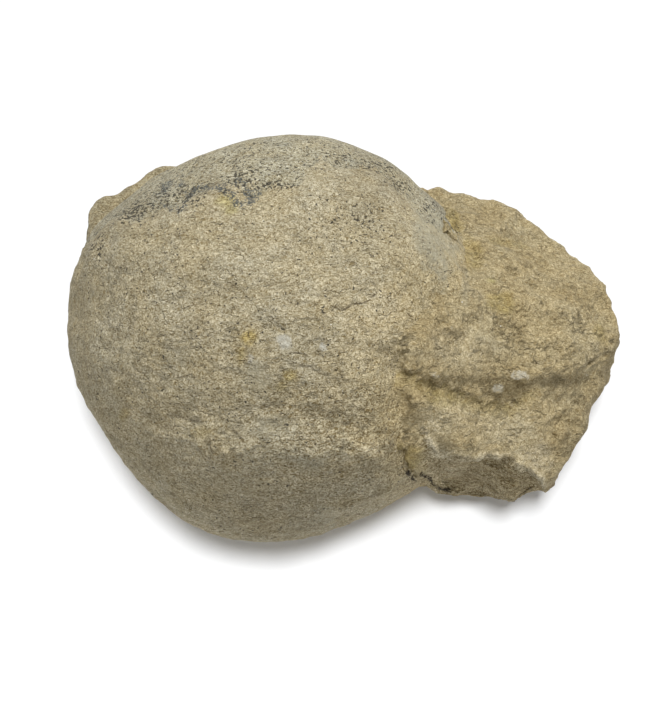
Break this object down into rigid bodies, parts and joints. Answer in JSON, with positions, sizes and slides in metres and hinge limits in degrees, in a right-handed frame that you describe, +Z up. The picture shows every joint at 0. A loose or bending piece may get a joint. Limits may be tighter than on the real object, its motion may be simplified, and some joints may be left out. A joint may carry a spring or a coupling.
{
  "type": "fossil tortoise egg",
  "caption": "Near-round fossil tortoise egg, bedded in the broken lump of sandstone matrix it was found in, lying on a table.",
  "frame": {"origin": "on the table, under the middle of the whole piece", "axes": "+X from the egg towards the tall lump of matrix, +Y towards the bare cap of shell, +Z up"},
  "size_m": [0.0748, 0.0558, 0.0512],
  "materials": {
    "egg_shell_and_crust": "dull grey shell with fine black specks, under a worn crust of tan sand with ochre and white spots",
    "sandstone": "rough broken yellow-brown sandstone with pale grains and darker hollows"
  },
  "bodies": {
    "root": {"egg": "egg_shell_and_crust", "matrix": "sandstone"}
  },
  "joints": []
}
